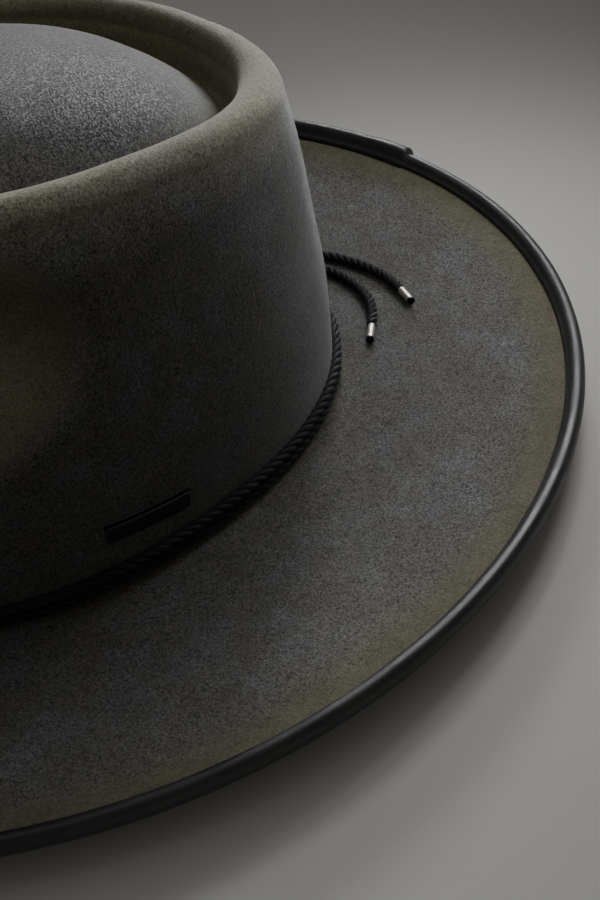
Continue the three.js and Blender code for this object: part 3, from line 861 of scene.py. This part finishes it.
def make_rope_tree():
    """Strands laid round a path, with their way along and across kept for the material."""
    tree = bpy.data.node_groups.new("laid_rope", "GeometryNodeTree")
    face = tree.interface
    face.new_socket(name="Path", in_out="INPUT", socket_type="NodeSocketGeometry")
    for label, kind, value in (
            ("Rope Radius", "NodeSocketFloat", CORD_RADIUS), ("Pitch", "NodeSocketFloat", TWIST_PITCH),
            ("Strands", "NodeSocketInt", 3), ("Strand Share", "NodeSocketFloat", 0.52),
            ("Step", "NodeSocketFloat", 0.0008), ("Sides", "NodeSocketInt", 10),
            ("Waist Length", "NodeSocketFloat", 0.0), ("Waist Share", "NodeSocketFloat", 0.7)):
        made = face.new_socket(name=label, in_out="INPUT", socket_type=kind)
        made.default_value = value
    face.new_socket(name="Finish", in_out="INPUT", socket_type="NodeSocketMaterial")
    face.new_socket(name="Rope", in_out="OUTPUT", socket_type="NodeSocketGeometry")
    start, end = add_node(tree, "NodeGroupInput"), add_node(tree, "NodeGroupOutput")
    given = {one.name: one for one in start.outputs}

    fine = add_node(tree, "GeometryNodeResampleCurve", {"mode": "LENGTH"})
    link(tree, given["Path"], fine.inputs["Curve"])
    link(tree, given["Step"], fine.inputs["Length"])
    level = add_node(tree, "GeometryNodeSetCurveNormal", {"mode": "Z_UP"})
    link(tree, fine.outputs["Curve"], level.inputs["Curve"])
    length = add_node(tree, "GeometryNodeSplineParameter").outputs["Length"]
    keep = add_node(tree, "GeometryNodeStoreNamedAttribute", {"data_type": "FLOAT", "domain": "POINT"},
                    {"Name": "along"})
    link(tree, level.outputs["Curve"], keep.inputs["Geometry"])
    link(tree, length, socket(keep.inputs, "Value"))
    copies = add_node(tree, "GeometryNodeDuplicateElements", {"domain": "SPLINE"})
    link(tree, keep.outputs["Geometry"], copies.inputs["Geometry"])
    link(tree, given["Strands"], copies.inputs["Amount"])

    turns = math_node(tree, "DIVIDE", length, given["Pitch"])
    shift = math_node(tree, "DIVIDE", copies.outputs["Duplicate Index"], given["Strands"])
    angle = math_node(tree, "MULTIPLY", math_node(tree, "ADD", turns, shift), 2 * math.pi)
    whole = add_node(tree, "GeometryNodeSplineLength").outputs["Length"]
    left = math_node(tree, "SUBTRACT", whole, length)
    waist = add_node(tree, "ShaderNodeMapRange", {"interpolation_type": "SMOOTHSTEP"})
    link(tree, left, socket(waist.inputs, "Value"))
    link(tree, math_node(tree, "MAXIMUM", given["Waist Length"], 1e-6), socket(waist.inputs, "From Max"))
    link(tree, given["Waist Share"], socket(waist.inputs, "To Min"))
    girth = waist.outputs[0]
    strand = math_node(tree, "MULTIPLY", given["Rope Radius"], given["Strand Share"])
    reach = math_node(tree, "MULTIPLY", math_node(tree, "SUBTRACT", given["Rope Radius"], strand), girth)
    normal = add_node(tree, "GeometryNodeInputNormal").outputs["Normal"]
    tangent = add_node(tree, "GeometryNodeInputTangent").outputs["Tangent"]
    cross = add_node(tree, "ShaderNodeVectorMath", {"operation": "CROSS_PRODUCT"})
    link(tree, tangent, cross.inputs[0])
    link(tree, normal, cross.inputs[1])
    parts = []
    for way, wave in ((normal, "COSINE"), (cross.outputs[0], "SINE")):
        part = add_node(tree, "ShaderNodeVectorMath", {"operation": "SCALE"})
        link(tree, way, part.inputs[0])
        link(tree, math_node(tree, "MULTIPLY", math_node(tree, wave, angle), reach), part.inputs["Scale"])
        parts.append(part.outputs[0])
    offset = add_node(tree, "ShaderNodeVectorMath", {"operation": "ADD"})
    link(tree, parts[0], offset.inputs[0])
    link(tree, parts[1], offset.inputs[1])
    laid = add_node(tree, "GeometryNodeSetPosition")
    link(tree, copies.outputs["Geometry"], laid.inputs["Geometry"])
    link(tree, offset.outputs[0], laid.inputs["Offset"])

    circle = add_node(tree, "GeometryNodeCurvePrimitiveCircle")
    link(tree, given["Sides"], circle.inputs["Resolution"])
    link(tree, strand, circle.inputs["Radius"])
    across = add_node(tree, "GeometryNodeStoreNamedAttribute",
                      {"data_type": "FLOAT_VECTOR", "domain": "POINT"}, {"Name": "across"})
    unit = add_node(tree, "ShaderNodeVectorMath", {"operation": "NORMALIZE"})
    link(tree, add_node(tree, "GeometryNodeInputPosition").outputs["Position"], unit.inputs[0])
    link(tree, circle.outputs["Curve"], across.inputs["Geometry"])
    link(tree, unit.outputs[0], socket(across.inputs, "Value"))
    tube = add_node(tree, "GeometryNodeCurveToMesh", None, {"Fill Caps": True})
    link(tree, laid.outputs["Geometry"], tube.inputs["Curve"])
    link(tree, across.outputs["Geometry"], tube.inputs["Profile Curve"])
    link(tree, girth, tube.inputs["Scale"])
    soft = add_node(tree, "GeometryNodeSetShadeSmooth")
    link(tree, tube.outputs["Mesh"], soft.inputs["Geometry"])
    real = add_node(tree, "GeometryNodeRealizeInstances")
    link(tree, soft.outputs["Geometry"], real.inputs["Geometry"])
    dressed = add_node(tree, "GeometryNodeSetMaterial")
    link(tree, real.outputs["Geometry"], dressed.inputs["Geometry"])
    link(tree, given["Finish"], dressed.inputs["Material"])
    link(tree, dressed.outputs["Geometry"], end.inputs["Rope"])
    return tree


def rope(name, points, tree, material, **sizes):
    """A laid rope along points, as a plain mesh."""
    line = bpy.data.curves.new(name + "_path", "CURVE")
    line.dimensions = "3D"
    spline = line.splines.new("POLY")
    spline.points.add(len(points) - 1)
    for place, point in zip(spline.points, points):
        place.co = (*point, 1)
    path = bpy.data.objects.new(name + "_path", line)
    bpy.context.scene.collection.objects.link(path)
    maker = path.modifiers.new("rope", "NODES")
    maker.node_group = tree
    wanted = {"Finish": material, **{label.replace("_", " "): value for label, value in sizes.items()}}
    for item in tree.interface.items_tree:
        if item.in_out == "INPUT" and item.name in wanted:
            maker[item.identifier] = wanted[item.name]
    graph = bpy.context.evaluated_depsgraph_get()
    mesh = bpy.data.meshes.new_from_object(path.evaluated_get(graph), preserve_all_data_layers=True,
                                           depsgraph=graph)
    mesh.name = name
    bpy.data.objects.remove(path)
    made = bpy.data.objects.new(name, mesh)
    bpy.context.scene.collection.objects.link(made)
    return made


LOWER_WRAP = FELT + max(CROWN_FOOT_RADIUS, CORD_RADIUS) + 2 * GAP
UPPER_WRAP = LOWER_WRAP + 2 * CORD_RADIUS + GAP


def wrap_path(height, seed):
    """Once round the crown, from inside one end of the keeper to the other."""
    half = (KEEPER_LENGTH / 2 - 0.001) / (CROWN_HALF_LENGTH + CORD_RADIUS)
    angle = np.linspace(BACK + half, BACK + 2 * math.pi - half, 420)
    lift = np.array([0.00018 * noise.noise(Vector((math.cos(a), math.sin(a), seed)) * 4) for a in angle])
    level = height + lift
    points = polar(angle, wall_radius_at(angle, level) + CORD_RADIUS - 0.0002, 0) + HAT_SHIFT
    points[:, 2] = level
    return points


def tail_path(route):
    """The tail's middle line: it leaves the keeper and lies on the brim."""
    knots = np.array([(x, y, float(brim_top_at(x, y)) + GAP + CORD_RADIUS) for x, y in route])
    lead = knots[0] + np.array([0.0002, -0.0016, 0.0002])
    knots = np.concatenate([[lead], knots])
    places = np.arange(8 * (len(knots) - 1) + 1) / 8
    return np.array([curve_point(knots, place) for place in places]) + HAT_SHIFT


def keeper_path():
    """Thin twine wound side by side in an oval coil that holds the cords together."""
    out = CROWN_HALF_LENGTH + GAP + KEEPER_HALF_DEPTH
    middle = np.array([0, out, (LOWER_WRAP + UPPER_WRAP) / 2]) + HAT_SHIFT
    share = np.linspace(0, 1, KEEPER_TURNS * 40)
    turn = share * KEEPER_TURNS * 2 * math.pi
    x = (share - 0.5) * (KEEPER_LENGTH - 2 * KEEPER_TWINE)
    pinch = 1 - 0.1 * (2 * np.abs(share - 0.5)) ** 4
    y = (KEEPER_HALF_DEPTH - KEEPER_TWINE) * pinch * np.cos(turn)
    z = (KEEPER_HALF_HEIGHT - KEEPER_TWINE) * pinch * np.sin(turn)
    return np.stack([x, y, z], -1) + middle


# Metal ends and tab

def lathe(name, outside, inside, sides, start, ahead, material):
    """A turned piece in line with the tail, from (radius, along) pairs over its outside and its inside."""
    turned = Vector((0, 0, 1)).rotation_difference(Vector(ahead)).to_matrix()
    profile = outside + inside
    points = []
    for radius, along in profile:
        for side in range(sides):
            turn = 2 * math.pi * side / sides
            point = turned @ Vector((radius * math.cos(turn), radius * math.sin(turn), along))
            points.append(np.array(point) + start)
    count = len(points)
    faces = grid_faces(len(profile), sides)
    faces += [tuple(range(sides))[::-1], tuple(range(count - sides, count))]
    # The inside points carry the painted shade of the mouth.
    painted_dark_end = [0.0] * len(outside) * sides + [1.0] * len(inside) * sides
    made = finish_mesh(name, points, faces, material, {"inside": painted_dark_end})
    face_outwards(made)
    return made


def ferrule(letter, path, material):
    """A thin metal tube with a groove near its start, and painted shade on the rim and in the mouth at its
    far end.
    """
    ahead = path[-1] - path[-3]
    ahead /= np.linalg.norm(ahead)
    start = path[-1] + ahead * GAP
    r = FERRULE_RADIUS
    end = FERRULE_LENGTH
    outside = [
        (r - 0.0005, -0.00025), (r - 0.00022, -0.00028), (r - 0.0001, -0.00022), (r - 0.00005, -0.0001),
        (r - 0.00004, 0.0001), (r - 0.00004, 0.0009), (r - 0.00009, 0.001), (r - 0.00009, 0.00115),
        (r - 0.00004, 0.00125), (r - 0.00003, 0.0035), (r - 0.00003, end - 0.001)]
    # From the far rim into the mouth: these points are painted dark as shade.
    inside = [
        (r - 0.00003, end - 0.00095), (r - 0.00002, end - 0.0004), (r - 0.00001, end - 0.0002),
        (r - 0.00004, end - 0.00007), (r - 0.00012, end), (r - 0.0002, end - 0.00002),
        (r - 0.00026, end - 0.0001), (r - 0.00028, end - 0.0005), (r - 0.00028, end - 0.0022),
        (r - 0.0009, end - 0.00225)]
    return lathe("metal_end_" + letter, outside, inside, 40, start, ahead, material)


def slot_tab(material):
    """Thin satin tape folded over the slot's edge: it hangs outside and a little way inside."""
    low = -TAB_THICKNESS / 2 - 0.0002
    high = low + TAPE
    outer = GAP * 0.5 + TAPE
    inner = -FELT - GAP - TAPE
    # Out from the wall, up from the slot, the share of the light thread along the fold
    outline = [
        (outer + 0.00005, -TAB_DROP, 0), (outer + 0.0001, -TAB_DROP + 0.00015, 0),
        (outer + 0.00015, -TAB_DROP * 0.6, 0), (outer + 0.0001, -TAB_DROP * 0.3, 0),
        (outer + 0.00008, low - 0.0002, 0), (outer, high - 0.00018, 0.5),
        (outer - 0.00014, high - 0.00003, 0.6), (outer - 0.0004, high, 0), (inner + 0.0003, high, 0),
        (inner, high - 0.0002, 0), (inner, -TAB_DROP, 0), (inner + TAPE, -TAB_DROP, 0),
        (inner + TAPE, low, 0), (outer - TAPE, low, 0), (outer - TAPE, -TAB_DROP * 0.5, 0),
        (outer - TAPE, -TAB_DROP, 0)]
    outside_points = 6
    shares = np.linspace(-0.5, 0.5, 61)
    sections = []
    for share in shares:
        ripple = 0.00012 * noise.noise(Vector((share * 5, 2, 7)))
        shape = [(out + (ripple if number < outside_points else 0), up)
                 for number, (out, up, thread) in enumerate(outline)]
        sections.append(tab_section(share, shape))
    folds = [thread for out, up, thread in outline] * len(shares)
    made = lofted("folded_tab", sections, material, {"fold": folds})
    corners = np.array([(out, up) for out, up, thread in outline])
    run = np.concatenate([[0], np.cumsum(np.linalg.norm(np.diff(corners, axis=0), axis=1))])
    layer = made.data.uv_layers.new(name="cloth")
    for corner, loop in enumerate(made.data.loops):
        station, column = divmod(loop.vertex_index, len(outline))
        layer.data[corner].uv = (shares[station] * TAB_WIDTH, run[column])
    return made


# Dressing

def dress(piece, slot, *nodes):
    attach(piece, "root")
    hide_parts(*nodes)
    return piece


def build_tail(letter, route, tree, black, nickel):
    path = tail_path(route)
    tail = rope("cord_tail_end_" + letter, path, tree, black, Rope_Radius=TAIL_RADIUS, Pitch=TAIL_PITCH,
                Waist_Length=0.0016, Waist_Share=0.75)
    end = ferrule(letter, path, nickel)
    dress(tail, "black_cord", "cord_tail_" + letter)
    dress(end, "nickel", "ferrule_" + letter)


def build_hat():
    black = cord_material()
    nickel = nickel_material()
    dress(felt_body(felt_material()), "fur_felt", "felt_body")
    dress(edge_binding(leather_material()), "binding_leather", "edge_binding")
    dress(slot_tab(tape_material()), "woven_tab", "slot_tab")
    tree = make_rope_tree()
    dress(rope("cord_turn_lower", wrap_path(LOWER_WRAP, 1), tree, black), "black_cord", "cord_wrap_lower")
    dress(rope("cord_turn_upper", wrap_path(UPPER_WRAP, 6), tree, black), "black_cord", "cord_wrap_upper")
    keeper = rope("wound_keeper", keeper_path(), tree, black, Rope_Radius=KEEPER_TWINE, Pitch=0.0026,
                  Step=0.00035, Sides=8)
    dress(keeper, "black_cord", "cord_keeper")
    for letter, route in TAIL_ROUTES.items():
        build_tail(letter, route, tree, black, nickel)


# Stage

def area_light(name, place, aim, size, energy, spread=180):
    lamp = bpy.data.lights.new(name, "AREA")
    lamp.shape, lamp.size, lamp.size_y = "RECTANGLE", size[0], size[1]
    lamp.energy, lamp.spread = energy, math.radians(spread)
    made = bpy.data.objects.new(name, lamp)
    made.location = place
    made.visible_camera = False
    made.rotation_euler = (Vector(aim) - Vector(place)).to_track_quat("-Z", "Y").to_euler()
    bpy.context.scene.collection.objects.link(made)


def build_stage():
    corners = [(-4, -4, 0), (4, -4, 0), (4, 4, 0), (-4, 4, 0)]
    floor = finish_mesh("floor", corners, [(0, 1, 2, 3)], floor_material())
    world = bpy.data.worlds.new("studio")
    bpy.context.scene.world = world
    world.use_nodes = True
    background = world.node_tree.nodes["Background"]
    background.inputs["Color"].default_value = (1, 0.97, 0.92, 1)
    background.inputs["Strength"].default_value = 0.13
    area_light("key_light", (0.07, 0.23, 0.2), (0.05, 0.04, 0.08), (0.1, 0.1), 0.23)
    area_light("rim_light", (-0.165, 0.45, 0.425), (0.06, 0.06, 0.11), (0.12, 0.12), 0.04, 40)
    area_light("low_rim_light", (-0.28, 0.467, 0.252), (0.06, 0.03, 0.11), (0.12, 0.12), 0.15, 40)
    area_light("overhead_light", (-0.1, 0.1, 1.2), (0, 0, 0), (0.9, 0.9), 0.6)


def build_camera():
    """The photo's camera: where it stands, which way it looks and which way is up in its picture."""
    lens = bpy.data.cameras.new("photo_camera")
    lens.sensor_fit, lens.sensor_width, lens.lens = "AUTO", 36, 55.4
    lens.clip_start, lens.clip_end = 0.01, 20
    camera = bpy.data.objects.new("photo_camera", lens)
    ahead = Vector((-0.57062, 0.49831, -0.65274)).normalized()
    above = Vector((-0.42178, 0.50417, 0.7536))
    right = ahead.cross(above).normalized()
    above = right.cross(ahead)
    turned = Matrix((right, above, -ahead)).transposed().to_4x4()
    camera.matrix_world = Matrix.Translation((0.32959, -0.17625, 0.28627)) @ turned
    bpy.context.scene.collection.objects.link(camera)
    bpy.context.scene.camera = camera


build_camera()
build_hat()
build_stage()
